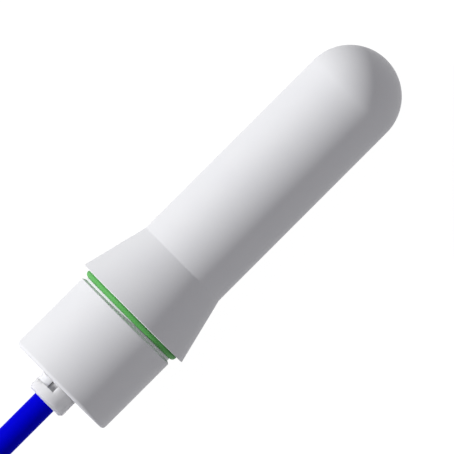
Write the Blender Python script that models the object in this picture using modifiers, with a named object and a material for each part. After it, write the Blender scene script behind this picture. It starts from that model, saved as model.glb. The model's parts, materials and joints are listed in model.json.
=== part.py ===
"""A capacitive level sensor: a smooth plastic probe with a round tip and a flare, a rear cap sealed with an
O-ring, and a two-core cable. It lies on a flat surface on its flare and its tip.

The turned pieces are modelled round an empty's Z axis, which runs from the cable to the tip, with zero at
the rear face of the flare. The empty is then laid down, so that +X is the way the tip points, with the
world's origin under the middle of the sensor without its cable."""

import math

import bmesh
import bpy
from mathutils import Matrix, Vector

MM = 0.001

# Fits between pieces
FIT = 0.3 * MM
FACE_FIT = 0.15 * MM
CABLE_FIT = 0.2 * MM

# Probe housing
FLANGE_R = 17.0 * MM
CONE_LENGTH = 17.4 * MM
TUBE_R = 12.75 * MM
TUBE_LENGTH = 58.6 * MM
HOUSING_WALL = 2.0 * MM
SOCKET_DEPTH = 10.0 * MM

# O-ring between the flare and the cap
RING_SECTION_R = 1.25 * MM
RING_PROUD = 1.7 * MM

# Sleeve that joins the housing and the cap
SLEEVE_R = 12.5 * MM
SLEEVE_WALL = 1.5 * MM

# Rear cap
CAP_R = 15.0 * MM
CAP_LENGTH = 23.75 * MM
CAP_FRONT_CHAMFER = 0.75 * MM
CAP_REAR_RADIUS = 0.85 * MM
CAP_SOCKET_DEPTH = 10.45 * MM
CAP_SHOULDER = 1.5 * MM
CAP_REAR_WALL = 4.0 * MM

# Cable gland
COLLAR_R = 5.5 * MM
COLLAR_LENGTH = 4.95 * MM
COLLAR_WALL = 0.95 * MM
COLLAR_CHAMFER = 0.7 * MM
COLLAR_FRONT_WALL = 0.3 * MM
NECK_R = 4.3 * MM
NECK_LENGTH = 7.4 * MM
WINDOW_LENGTH = 1.8 * MM
WINDOW_START = math.radians(85.0)
WINDOW_END = math.radians(176.0)
TONGUE_START = math.radians(91.0)
TONGUE_END = math.radians(154.0)
TONGUE_DEPTH = 0.25 * MM
INSERT_END_GAP = 0.3 * MM
NUT_ACROSS_FLATS = 12.0 * MM
NUT_LENGTH = 2.4 * MM
SEAL_R = 6.5 * MM
SEAL_LENGTH = 4.0 * MM

# Electrodes and their carrier
ELECTRODE_WALL = 0.35 * MM
SENSING_LENGTH = 26.0 * MM
GUARD_LENGTH = 5.0 * MM
ELECTRODE_SPACING = 3.0 * MM
CARRIER_WALL = 2.0 * MM
CARRIER_LIP = 3.0 * MM
LEAD_R = 0.4 * MM
LEAD_BEND = 1.2 * MM
LEAD_OFFSET = 5.2 * MM
LEAD_END_GAP = 1.0 * MM

# Circuit board and its parts
BOARD_WIDTH = 15.0 * MM
BOARD_THICKNESS = 1.6 * MM
BOARD_REAR = -9.5 * MM
BOARD_CARRIER_GAP = 1.0 * MM
BOARD_RING_LENGTH = 3.0 * MM
REAR_RING_PLACE = 4.0 * MM
FRONT_RING_SHARE = 4 / 7
BOARD_PARTS_GAP = 1.5 * MM
CAN_LENGTH = 14.0 * MM
CAN_WIDTH = 12.0 * MM
CAN_HEIGHT = 4.0 * MM
CAN_SHEET = 0.5 * MM
OSCILLATOR_SIZE = (1.6 * MM, 4.0 * MM, 5.0 * MM)
OUTPUT_CHIP_SIZE = (2.2 * MM, 5.0 * MM, 6.0 * MM)
TRIMMER_SIZE = (3.0 * MM, 6.4 * MM, 6.4 * MM)
TRIMMER_ROTOR_R = 2.2 * MM
TRIMMER_ROTOR_HEIGHT = 0.8 * MM
TRIMMER_SLOT = 0.6 * MM
REAR_PARTS_PLACE = -1.5 * MM
REAR_PARTS_OFFSET = 3.8 * MM
CAPACITOR_R = 2.5 * MM
CAPACITOR_HEIGHT = 6.0 * MM
TERMINAL_R = 0.6 * MM
TERMINAL_HEIGHT = 3.2 * MM
TERMINAL_INSET = 2.0 * MM
TERMINAL_OFFSET = 3.0 * MM

# Cable
CABLE_R = 3.2 * MM
CORE_R = 0.7 * MM
CORE_OFFSET = 0.95 * MM
CORE_SWING = 0.8
STRIPPED_LENGTH = 3.0 * MM
# Each point of the route: how far behind the gland, and how high above the surface
RUN_ROUTE = [
    (0.0 * MM, 18.70 * MM), (6.2 * MM, 19.05 * MM), (12.2 * MM, 19.38 * MM), (18.2 * MM, 19.45 * MM),
    (25.2 * MM, 18.55 * MM), (32.2 * MM, 16.25 * MM), (39.2 * MM, 12.95 * MM), (46.2 * MM, 9.40 * MM),
    (53.2 * MM, 6.25 * MM), (60.2 * MM, 4.05 * MM), (67.2 * MM, 3.20 * MM),
]

# Hank: turns of cable with wide loops at both ends, drawn together at the waist by a tie
HANK_START = 67.5 * MM
HANK_LOOP_R = 19.2 * MM
HANK_LOOP_SPAN = 93.2 * MM
HANK_TURNS = 6
WAIST_COLUMNS = 4
WAIST_ROWS = 3
TAIL_LEAD = 12.0 * MM
TAIL_TURN = math.radians(110.0)
TAIL_CORE_TURN = math.radians(66.0)
TAIL_CORE_RUN = 3.0 * MM
TAIL_CORE_SPREAD = 1.5 * MM
FERRULE_R = 0.75 * MM
FERRULE_MOUTH_R = 1.1 * MM
FERRULE_LENGTH = 8.0 * MM
TIE_WIDTH = 3.6 * MM
TIE_THICKNESS = 1.2 * MM
TIE_HEAD = (5.0 * MM, 6.0 * MM, 4.0 * MM)

# Fineness of the meshes
ROUND_STEPS = 48
BORE_STEPS = 36
SMALL_STEPS = 24
PIN_STEPS = 12
RING_STEPS = 12
CABLE_BEVEL_STEPS = 3
CORE_BEVEL_STEPS = 2
CABLE_SPACING = 2.2 * CABLE_R
CORE_SPACING = 3.0 * CORE_R
LEAD_SPACING = 3.0 * LEAD_R
OUTLINE_STEPS = 10
SHARP_ANGLE = math.radians(35.0)
WELD = 0.001 * MM

# Places along the axis that several pieces share
DOME_CENTRE = CONE_LENGTH + TUBE_LENGTH
BORE_R = TUBE_R - HOUSING_WALL
SOCKET_R = SLEEVE_R + FIT
RING_R = SOCKET_R + RING_SECTION_R
RING_PLACE = RING_SECTION_R - RING_PROUD
RING_SEAT_DEPTH = RING_PLACE + RING_SECTION_R + FACE_FIT
RING_SEAT_R = RING_R + RING_SECTION_R + FIT
CAP_FRONT = -RING_PROUD - FACE_FIT
CAP_REAR = CAP_FRONT - CAP_LENGTH
CAP_SOCKET_END = CAP_FRONT - CAP_SOCKET_DEPTH
CAP_INSIDE_END = CAP_REAR + CAP_REAR_WALL
SLEEVE_BORE_R = SLEEVE_R - SLEEVE_WALL
COLLAR_FRONT = CAP_REAR - FACE_FIT
COLLAR_REAR = COLLAR_FRONT - COLLAR_LENGTH
COLLAR_BORE_R = COLLAR_R - COLLAR_WALL
NECK_END = COLLAR_FRONT + NECK_LENGTH
WINDOW_FRONT = COLLAR_FRONT - COLLAR_FRONT_WALL
WINDOW_REAR = WINDOW_FRONT - WINDOW_LENGTH
JACKET_BORE_R = CABLE_R + CABLE_FIT
SEAL_REAR = NECK_END + FIT
SEAL_FRONT = SEAL_REAR + SEAL_LENGTH
BOARD_TOP = -BOARD_THICKNESS / 2
TERMINAL_PLACE = BOARD_REAR + TERMINAL_INSET
JACKET_END = BOARD_REAR - STRIPPED_LENGTH
ELECTRODE_R = BORE_R - FIT
CARRIER_R = ELECTRODE_R - ELECTRODE_WALL - FIT
SENSING_REAR = DOME_CENTRE - SENSING_LENGTH
GUARD_FRONT = SENSING_REAR - ELECTRODE_SPACING
GUARD_REAR = GUARD_FRONT - GUARD_LENGTH
CARRIER_REAR = GUARD_REAR - CARRIER_LIP
BOARD_FRONT = CARRIER_REAR + BOARD_CARRIER_GAP
CAPACITOR_PLACE = REAR_RING_PLACE + BOARD_RING_LENGTH + BOARD_PARTS_GAP + CAPACITOR_R
CAN_REAR = CAPACITOR_PLACE + CAPACITOR_R + BOARD_PARTS_GAP
CAN_PLACE = CAN_REAR + CAN_LENGTH / 2
CAN_FRONT = CAN_REAR + CAN_LENGTH
FRONT_RING_PLACE = CAN_FRONT + FRONT_RING_SHARE * (CARRIER_REAR - CAN_FRONT - BOARD_RING_LENGTH)
LEADS_END = FRONT_RING_PLACE + BOARD_RING_LENGTH + LEAD_END_GAP


def lying_tilt():
    """The angle at which both the flare's rim and the round tip touch the surface."""
    reach = math.hypot(FLANGE_R, DOME_CENTRE)
    return math.acos(TUBE_R / reach) - math.atan2(DOME_CENTRE, FLANGE_R)


def lying_place(tilt):
    """World place of the axis at the flare's rear face, with the sensor's box centred on the origin."""
    tip = DOME_CENTRE * math.cos(tilt) + TUBE_R
    rear = COLLAR_REAR * math.cos(tilt) - (COLLAR_R - COLLAR_CHAMFER) * math.sin(tilt)
    return Vector((-(tip + rear) / 2, 0.0, FLANGE_R * math.cos(tilt)))


def clear_scene():
    for thing in list(bpy.data.objects):
        bpy.data.objects.remove(thing, do_unlink=True)


def new_collection(name):
    group = bpy.data.collections.new(name)
    bpy.context.scene.collection.children.link(group)
    return group


def new_material(name, colour, roughness, metallic=0.0):
    material = bpy.data.materials.new(name)
    material.use_nodes = True
    shader = material.node_tree.nodes["Principled BSDF"]
    shader.inputs["Base Color"].default_value = (*colour, 1.0)
    shader.inputs["Roughness"].default_value = roughness
    shader.inputs["Metallic"].default_value = metallic
    return material


def as_mesh(thing):
    """The evaluated shape as a mesh whose loose caps are welded."""
    bpy.context.view_layer.update()
    mesh = bpy.data.meshes.new_from_object(thing.evaluated_get(bpy.context.evaluated_depsgraph_get()))
    shape = bmesh.new()
    shape.from_mesh(mesh)
    bmesh.ops.remove_doubles(shape, verts=shape.verts, dist=WELD)
    shape.to_mesh(mesh)
    shape.free()
    return mesh


class Bench:
    """Holds the collections and the empty, and adds finished pieces to them."""

    def __init__(self):
        self.parts = new_collection("capacitive_sensor")
        self.cutters = new_collection("cutters")
        self.axis = bpy.data.objects.new("sensor_axis", None)
        self.parts.objects.link(self.axis)
        tilt = lying_tilt()
        self.axis.location = lying_place(tilt)
        self.axis.rotation_euler = (0.0, math.pi / 2 + tilt, 0.0)
        bpy.context.view_layer.update()

    def add(self, name, data, material=None, on_axis=True):
        thing = bpy.data.objects.new(name, data)
        (self.parts if material else self.cutters).objects.link(thing)
        if on_axis:
            thing.parent = self.axis
        if material:
            data.materials.append(material)
        else:
            thing.hide_render = True
            thing.display_type = "WIRE"
        return thing

    def turn(self, name, profile, material=None, steps=ROUND_STEPS, closed=True, on_axis=True):
        """Spins (radius, height) points round Z: down the outer side, and back up the bore if closed."""
        count = len(profile)
        edges = [(i, i + 1) for i in range(count - 1)]
        if closed:
            edges.append((count - 1, 0))
        mesh = bpy.data.meshes.new(name)
        mesh.from_pydata([(r, 0.0, z) for r, z in profile], edges, [])
        thing = self.add(name, mesh, material, on_axis)
        screw = thing.modifiers.new("turned", "SCREW")
        screw.steps = screw.render_steps = steps
        screw.use_merge_vertices = True
        screw.merge_threshold = WELD
        return self.settle(thing)

    def box(self, name, low, high, material=None):
        mesh = bpy.data.meshes.new(name)
        shape = bmesh.new()
        bmesh.ops.create_cube(shape, size=1.0)
        size = [b - a for a, b in zip(low, high)]
        bmesh.ops.scale(shape, vec=size, verts=shape.verts)
        shape.to_mesh(mesh)
        shape.free()
        thing = self.add(name, mesh, material)
        thing.location = [(a + b) / 2 for a, b in zip(low, high)]
        return thing

    def prism(self, name, outline, low, high, material=None, on_axis=True):
        """A flat outline with a thickness, from height low to height high."""
        curve = bpy.data.curves.new(name, "CURVE")
        curve.dimensions = "2D"
        curve.fill_mode = "BOTH"
        curve.extrude = (high - low) / 2
        spline = curve.splines.new("POLY")
        spline.points.add(len(outline) - 1)
        for point, (x, y) in zip(spline.points, outline):
            point.co = (x, y, 0.0, 1.0)
        spline.use_cyclic_u = True
        flat = bpy.data.objects.new(name + "_outline", curve)
        self.cutters.objects.link(flat)
        mesh = as_mesh(flat)
        bpy.data.objects.remove(flat)
        mesh.transform(Matrix.Translation((0.0, 0.0, (low + high) / 2)))
        return self.add(name, mesh, material, on_axis)

    def cord(self, name, points, radius, material, on_axis=False, bevel=CORE_BEVEL_STEPS):
        curve = bpy.data.curves.new(name, "CURVE")
        curve.dimensions = "3D"
        curve.bevel_depth = radius
        curve.bevel_resolution = bevel
        curve.use_fill_caps = True
        spline = curve.splines.new("POLY")
        spline.points.add(len(points) - 1)
        for point, place in zip(spline.points, points):
            point.co = (*place, 1.0)
        return self.add(name, curve, material, on_axis)

    def cut(self, thing, cutter, operation="DIFFERENCE"):
        boolean = thing.modifiers.new(cutter.name, "BOOLEAN")
        boolean.operation = operation
        boolean.solver = "EXACT"
        boolean.object = cutter

    def settle(self, thing):
        """Makes the modifiers' result the mesh, smooth except at its sharp edges."""
        mesh = as_mesh(thing)
        thing.modifiers.clear()
        thing.data = mesh
        mesh.shade_smooth()
        mesh.set_sharp_from_angle(angle=SHARP_ANGLE)
        return thing


def arc(centre_r, centre_z, radius, start, end, steps):
    """Points on an arc in a profile, from the start angle to the end angle above the outward direction."""
    points = []
    for i in range(steps + 1):
        angle = math.radians(start + (end - start) * i / steps)
        points.append((centre_r + radius * math.cos(angle), centre_z + radius * math.sin(angle)))
    return points


def tube_profile(outer, inner, top, bottom):
    return [(outer, top), (outer, bottom), (inner, bottom), (inner, top)]


def bar_profile(radius, top, bottom):
    return [(0.0, top), (radius, top), (radius, bottom), (0.0, bottom)]


def smooth_route(points, spacing):
    """Points at about the spacing along a smooth curve through the given ones."""
    ends = [points[0] * 2 - points[1], *points, points[-1] * 2 - points[-2]]
    route = []
    for before, a, b, after in zip(ends, ends[1:], ends[2:], ends[3:]):
        steps = max(1, round((b - a).length / spacing))
        for i in range(steps):
            t = i / steps
            route.append(
                a
                + (b - before) * (t / 2)
                + (before * 2 - a * 5 + b * 4 - after) * (t * t / 2)
                + (a * 3 - before - b * 3 + after) * (t ** 3 / 2)
            )
    return [*route, points[-1]]


def sector(inner, outer, start, end, step=math.radians(6.0)):
    """Outline of a part of a ring, between two angles."""
    steps = max(2, math.ceil((end - start) / step))
    angles = [start + (end - start) * i / steps for i in range(steps + 1)]
    outside = [(outer * math.cos(a), outer * math.sin(a)) for a in angles]
    inside = [(inner * math.cos(a), inner * math.sin(a)) for a in reversed(angles)]
    return outside + inside


def probe_housing(bench, white):
    """One turned shell: round tip, tube, flare, and the socket and ring seat in its rear face."""
    profile = arc(0.0, DOME_CENTRE, TUBE_R, 90.0, 0.0, 12)
    profile += [
        (TUBE_R, CONE_LENGTH),
        (FLANGE_R, 0.0),
        (RING_SEAT_R, 0.0),
        (RING_SEAT_R, RING_SEAT_DEPTH),
        (SOCKET_R, RING_SEAT_DEPTH),
        (SOCKET_R, SOCKET_DEPTH),
        (BORE_R, SOCKET_DEPTH),
    ]
    profile += arc(0.0, DOME_CENTRE, BORE_R, 0.0, 90.0, 8)
    bench.turn("probe_housing", profile, white, closed=False)


def flange_o_ring(bench, green):
    last = RING_STEPS - 1
    profile = arc(RING_R, RING_PLACE, RING_SECTION_R, 90.0, 90.0 - 360.0 * last / RING_STEPS, last)
    bench.turn("flange_o_ring", profile, green)


def connecting_sleeve(bench, material):
    front = SOCKET_DEPTH - FIT
    rear = CAP_SOCKET_END + FIT
    bench.turn("connecting_sleeve", tube_profile(SLEEVE_R, SLEEVE_BORE_R, front, rear), material)


def rear_cap(bench, white):
    profile = [(CAP_R - CAP_FRONT_CHAMFER, CAP_FRONT), (CAP_R, CAP_FRONT - CAP_FRONT_CHAMFER)]
    profile += arc(CAP_R - CAP_REAR_RADIUS, CAP_REAR + CAP_REAR_RADIUS, CAP_REAR_RADIUS, 0.0, -90.0, 5)
    hole = NECK_R + FIT
    inside = SOCKET_R - CAP_SHOULDER
    profile += [
        (hole, CAP_REAR),
        (hole, CAP_INSIDE_END),
        (inside, CAP_INSIDE_END),
        (inside, CAP_SOCKET_END),
        (SOCKET_R, CAP_SOCKET_END),
        (SOCKET_R, CAP_FRONT),
    ]
    bench.turn("rear_cap", profile, white)


def gland_collar(bench, white):
    """The collar behind the cap, with its neck through the cap and a window on two sides."""
    shoulder = COLLAR_FRONT - COLLAR_FRONT_WALL
    profile = [
        (NECK_R, NECK_END),
        (NECK_R, COLLAR_FRONT),
        (COLLAR_R, COLLAR_FRONT),
        (COLLAR_R, COLLAR_REAR + COLLAR_CHAMFER),
        (COLLAR_R - COLLAR_CHAMFER, COLLAR_REAR),
        (COLLAR_BORE_R, COLLAR_REAR),
        (COLLAR_BORE_R, shoulder),
        (JACKET_BORE_R, shoulder),
        (JACKET_BORE_R, NECK_END),
    ]
    collar = bench.turn("gland_collar", profile, white)
    for number, turn in enumerate((0.0, math.pi)):
        outline = sector(COLLAR_BORE_R - FIT, COLLAR_R + FIT, WINDOW_START + turn, WINDOW_END + turn)
        window = bench.prism(f"window_{number}", outline, WINDOW_REAR, WINDOW_FRONT)
        bench.cut(collar, window)
    bench.settle(collar)


def clamp_insert(bench, material):
    """The clamp sleeve round the cable, with a latch tongue in each window."""
    outer = COLLAR_BORE_R - CABLE_FIT
    front = WINDOW_FRONT - FACE_FIT
    rear = COLLAR_REAR + INSERT_END_GAP
    insert = bench.turn("clamp_insert", tube_profile(outer, JACKET_BORE_R, front, rear), material)
    middle = (outer + JACKET_BORE_R) / 2
    for number, turn in enumerate((0.0, math.pi)):
        outline = sector(middle, COLLAR_R - TONGUE_DEPTH, TONGUE_START + turn, TONGUE_END + turn)
        tongue = bench.prism(f"tongue_{number}", outline, WINDOW_REAR + FACE_FIT, WINDOW_FRONT - 2 * FACE_FIT)
        bench.cut(insert, tongue, "UNION")
    bench.settle(insert)


def gland_locknut(bench, white):
    corner = NUT_ACROSS_FLATS / math.sqrt(3.0)
    angles = [math.radians(60.0 * i) for i in range(6)]
    outline = [(corner * math.cos(a), corner * math.sin(a)) for a in angles]
    rear = CAP_INSIDE_END + FIT
    nut = bench.prism("gland_locknut", outline, rear, rear + NUT_LENGTH, white)
    bore = bar_profile(NECK_R + FIT, rear + NUT_LENGTH + FIT, rear - FIT)
    hole = bench.turn("nut_bore", bore, steps=SMALL_STEPS, closed=False)
    bench.cut(nut, hole)
    bench.settle(nut)


def cable_seal(bench, rubber):
    lip = SEAL_R - SEAL_LENGTH / 4
    profile = [(lip, SEAL_FRONT), (SEAL_R, SEAL_REAR + SEAL_LENGTH / 2), (SEAL_R, SEAL_REAR)]
    profile += [(JACKET_BORE_R, SEAL_REAR), (JACKET_BORE_R, SEAL_FRONT)]
    bench.turn("cable_seal", profile, rubber, SMALL_STEPS)


def electrodes(bench, copper, plastic, wire):
    """The sensing cup behind the tip, the guard ring, the carrier inside both, and their two leads."""
    inner = ELECTRODE_R - ELECTRODE_WALL
    cup = arc(0.0, DOME_CENTRE, ELECTRODE_R, 90.0, 0.0, 8)
    cup += [(ELECTRODE_R, SENSING_REAR), (inner, SENSING_REAR)]
    cup += arc(0.0, DOME_CENTRE, inner, 0.0, 90.0, 8)
    bench.turn("sensing_electrode", cup, copper, BORE_STEPS, closed=False)
    guard = tube_profile(ELECTRODE_R, inner, GUARD_FRONT, GUARD_REAR)
    bench.turn("guard_electrode", guard, copper, BORE_STEPS)

    hollow = CARRIER_R - CARRIER_WALL
    body = arc(0.0, DOME_CENTRE, CARRIER_R, 90.0, 0.0, 8)
    body += [
        (CARRIER_R, GUARD_REAR - FIT),
        (ELECTRODE_R, GUARD_REAR - FIT),
        (ELECTRODE_R, CARRIER_REAR),
        (hollow, CARRIER_REAR),
    ]
    body += arc(0.0, DOME_CENTRE, hollow, 0.0, 90.0, 6)
    carrier = bench.turn("electrode_carrier", body, plastic, BORE_STEPS, closed=False)

    middle = {"electrode_lead": SENSING_REAR + GUARD_LENGTH, "guard_lead": (GUARD_FRONT + GUARD_REAR) / 2}
    for (name, place), side in zip(middle.items(), (1, -1)):
        start = inner - FIT
        bore = bar_profile(LEAD_R + FIT, start, hollow - FIT)
        hole = bench.turn(name + "_hole", bore, steps=PIN_STEPS, closed=False)
        aim = Matrix.Rotation(-side * math.pi / 2, 4, "X")
        hole.matrix_local = Matrix.Translation((0.0, 0.0, place)) @ aim
        bench.cut(carrier, hole)
        reach = hollow - 2 * LEAD_R - FIT
        rest = BOARD_TOP - FIT - LEAD_R
        points = [
            Vector((0.0, side * start, place)),
            Vector((0.0, side * reach, place)),
            Vector((rest / 2, side * (reach + LEAD_OFFSET) / 2, place - LEAD_BEND)),
            Vector((rest, side * LEAD_OFFSET, CARRIER_REAR + CARRIER_LIP)),
            Vector((rest, side * LEAD_OFFSET, LEADS_END)),
        ]
        bench.cord(name, smooth_route(points, LEAD_SPACING), LEAD_R, wire, on_axis=True)
    bench.settle(carrier)


def board_ring(bench, name, radius, place, plastic):
    """A disc in the bore, with a slot for the board and a finger hole on each side of it."""
    disc = bench.turn(name, bar_profile(radius, place + BOARD_RING_LENGTH, place), plastic, closed=False)
    thick = BOARD_THICKNESS / 2 + FIT
    wide = BOARD_WIDTH / 2 + FIT
    low = place - FIT
    high = place + BOARD_RING_LENGTH + FIT
    slot = bench.box(name + "_slot", (-thick, -wide, low), (thick, wide, high))
    bench.cut(disc, slot)
    for side in (-1, 1):
        centre = side * (thick + radius) / 2
        bore = bar_profile((radius - thick) / 3, high, low)
        hole = bench.turn(f"{name}_hole_{side + 1}", bore, steps=SMALL_STEPS, closed=False)
        hole.location = (centre, 0.0, 0.0)
        bench.cut(disc, hole)
    bench.settle(disc)


def on_board(size, place, offset, top=BOARD_TOP - FIT):
    """Corners of a block of the size (height, width, length) that stands on the board."""
    height, width, length = size
    low = (top - height, offset - width / 2, place - length / 2)
    high = (top, offset + width / 2, place + length / 2)
    return low, high


def standing(radius, height, top=BOARD_TOP - FIT):
    """Profile of a post that stands on the board, before it is turned to point away from it."""
    return bar_profile(radius, height - top, -top)


def stand_up(post, place, offset):
    post.matrix_local = Matrix.Translation((0.0, offset, place)) @ Matrix.Rotation(-math.pi / 2, 4, "Y")


def circuit_board(bench, board_green, tin, chip_black, plastic, silver, gold):
    corner = Vector((BOARD_THICKNESS / 2, BOARD_WIDTH / 2, 0.0))
    rear = Vector((0.0, 0.0, BOARD_REAR)) - corner
    front = Vector((0.0, 0.0, BOARD_FRONT)) + corner
    bench.box("circuit_board", rear, front, board_green)

    can = bench.box("shield_can", *on_board((CAN_HEIGHT, CAN_WIDTH, CAN_LENGTH), CAN_PLACE, 0.0), tin)
    hollow = (CAN_HEIGHT - CAN_SHEET, CAN_WIDTH - 2 * CAN_SHEET, CAN_LENGTH - 2 * CAN_SHEET)
    low, high = on_board(hollow, CAN_PLACE, 0.0)
    inside = bench.box("can_inside", low, (0.0, *high[1:]))
    bench.cut(can, inside)
    bench.box("oscillator_chip", *on_board(OSCILLATOR_SIZE, CAN_PLACE, 0.0), chip_black)
    bench.box("output_chip", *on_board(OUTPUT_CHIP_SIZE, REAR_PARTS_PLACE, REAR_PARTS_OFFSET), chip_black)

    trimmer = bench.box("trimmer", *on_board(TRIMMER_SIZE, REAR_PARTS_PLACE, -REAR_PARTS_OFFSET), plastic)
    top = BOARD_TOP - FIT - TRIMMER_SIZE[0]
    rotor = bench.turn("rotor", standing(TRIMMER_ROTOR_R, TRIMMER_ROTOR_HEIGHT + FIT, top + FIT),
                       steps=SMALL_STEPS, closed=False)
    stand_up(rotor, REAR_PARTS_PLACE, -REAR_PARTS_OFFSET)
    bench.cut(trimmer, rotor, "UNION")
    slot = TRIMMER_SLOT / 2
    across = TRIMMER_ROTOR_R + FIT
    edge = top - TRIMMER_ROTOR_HEIGHT
    groove = bench.box("rotor_slot", (edge - FIT, -REAR_PARTS_OFFSET - slot, REAR_PARTS_PLACE - across),
                       (edge + TRIMMER_SLOT, -REAR_PARTS_OFFSET + slot, REAR_PARTS_PLACE + across))
    bench.cut(trimmer, groove)

    post = bench.turn("capacitor", standing(CAPACITOR_R, CAPACITOR_HEIGHT), silver, SMALL_STEPS, closed=False)
    stand_up(post, CAPACITOR_PLACE, 0.0)
    for name, side in (("terminal_brown", 1), ("terminal_blue", -1)):
        pin = bench.turn(name, standing(TERMINAL_R, TERMINAL_HEIGHT), gold, PIN_STEPS, closed=False)
        stand_up(pin, TERMINAL_PLACE, side * TERMINAL_OFFSET)


def inner_cable(bench, blue, core_materials):
    """The cable's end in the gland and the cap, and its two cores up to the solder pins."""
    jacket = bar_profile(CABLE_R, JACKET_END, COLLAR_REAR)
    bench.turn("cable_jacket_end", jacket, blue, SMALL_STEPS, closed=False)
    height = BOARD_TOP - FIT - TERMINAL_HEIGHT / 2
    for (name, material), side in zip(core_materials.items(), (1, -1)):
        points = [
            Vector((0.0, side * CORE_OFFSET, JACKET_END + FIT)),
            Vector((0.0, side * CORE_OFFSET, JACKET_END + STRIPPED_LENGTH / 3)),
            Vector((height * CORE_SWING, side * TERMINAL_OFFSET * CORE_SWING, BOARD_REAR - FIT)),
            Vector((height, side * TERMINAL_OFFSET, TERMINAL_PLACE - TERMINAL_R - FIT)),
        ]
        bench.cord("inner_core_" + name, smooth_route(points, CORE_SPACING), CORE_R, material, on_axis=True)


def exit_place():
    """World x of the cable where it leaves the gland."""
    tilt = lying_tilt()
    return lying_place(tilt).x + (COLLAR_REAR - FIT) * math.cos(tilt)


def cable_run(bench, blue):
    exit_x = exit_place()
    points = [Vector((exit_x - back, 0.0, height)) for back, height in RUN_ROUTE]
    bench.cord("cable_run", smooth_route(points, CABLE_SPACING), CABLE_R, blue, bevel=CABLE_BEVEL_STEPS)


def waist_share(offset):
    """0 at the hank's waist and 1 at its loops, along a smooth curve."""
    return (1 - math.cos(math.pi * min(1.0, abs(offset)))) / 2


def cable_hank(bench, blue):
    """The hank's outer shape: one outline from above and one from the side, each narrow at the waist."""
    diameter = 2 * CABLE_R
    end_r = HANK_LOOP_R + CABLE_R
    waist_r = WAIST_COLUMNS * CABLE_R
    half_span = HANK_LOOP_SPAN / 2
    middle = exit_place() - HANK_START - end_r - half_span
    steps = OUTLINE_STEPS
    top = HANK_TURNS * diameter
    waist_low = (HANK_TURNS - WAIST_ROWS) * CABLE_R
    sides = [1 - 2 * i / steps for i in range(steps + 1)]

    plan = []
    for sign in (1, -1):
        for i in range(steps):
            angle = math.pi / 2 - math.pi * i / steps
            reach = half_span + end_r * math.cos(angle)
            plan.append((middle + sign * reach, sign * end_r * math.sin(angle)))
        for u in sides[:-1]:
            width = waist_r + (end_r - waist_r) * waist_share(u)
            plan.append((middle + sign * half_span * u, -sign * width))
    outline = [point for i, point in enumerate(plan) if (Vector(point) - Vector(plan[i - 1])).length > FIT]
    hank = bench.prism("cable_hank", outline, 0.0, top, blue, on_axis=False)

    reach = half_span + end_r + FIT
    under = [(middle + half_span * u, waist_low * (1 - waist_share(u))) for u in sides]
    over = [(x, top - z) for x, z in reversed(under)]
    grow = 2 * FIT
    over = [(x, z + (grow if z > top - FIT else 0.0)) for x, z in over]
    under = [(x, z - (grow if z < FIT else 0.0)) for x, z in under]
    side_view = [(middle + reach, -grow), *under, (middle - reach, -grow)]
    side_view += [(middle - reach, top + grow), *over, (middle + reach, top + grow)]
    shape = bench.prism("hank_side", side_view, -end_r - FIT, end_r + FIT, on_axis=False)
    shape.matrix_world = Matrix.Rotation(math.pi / 2, 4, "X")
    bench.cut(hank, shape, "INTERSECT")
    bench.settle(hank)
    return middle, half_span, top


def hank_tie(bench, middle, top, white):
    """A cable tie round the waist: a strap with rounded corners and its head."""
    high = WAIST_ROWS * CABLE_R + FIT
    wide = WAIST_COLUMNS * CABLE_R + FIT
    inner = [(wide, high), (-wide, high), (-wide, -high), (wide, -high)]
    outer = []
    for quarter, (y, z) in enumerate(inner):
        for step in range(5):
            angle = math.radians(90.0 * (quarter + step / 4))
            outer.append((y + TIE_THICKNESS * math.cos(angle), z + TIE_THICKNESS * math.sin(angle)))
    strap = bench.prism("hank_tie", outer, -TIE_WIDTH / 2, TIE_WIDTH / 2, white, on_axis=False)
    hole = bench.prism("tie_hole", inner, -TIE_WIDTH, TIE_WIDTH, on_axis=False)
    length, width, height = TIE_HEAD
    head = bench.prism("tie_head", [(-width / 2, high + FIT), (width / 2, high + FIT),
                                    (width / 2, high + height), (-width / 2, high + height)],
                       -length / 2, length / 2, on_axis=False)
    stand = Matrix.Translation((middle, 0.0, top / 2)) @ Matrix.Rotation(math.pi / 2, 4, "Z")
    stand = stand @ Matrix.Rotation(math.pi / 2, 4, "X")
    for thing in (strap, hole, head):
        thing.matrix_world = stand
    bench.cut(strap, hole)
    bench.cut(strap, head, "UNION")
    bench.settle(strap)


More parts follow.
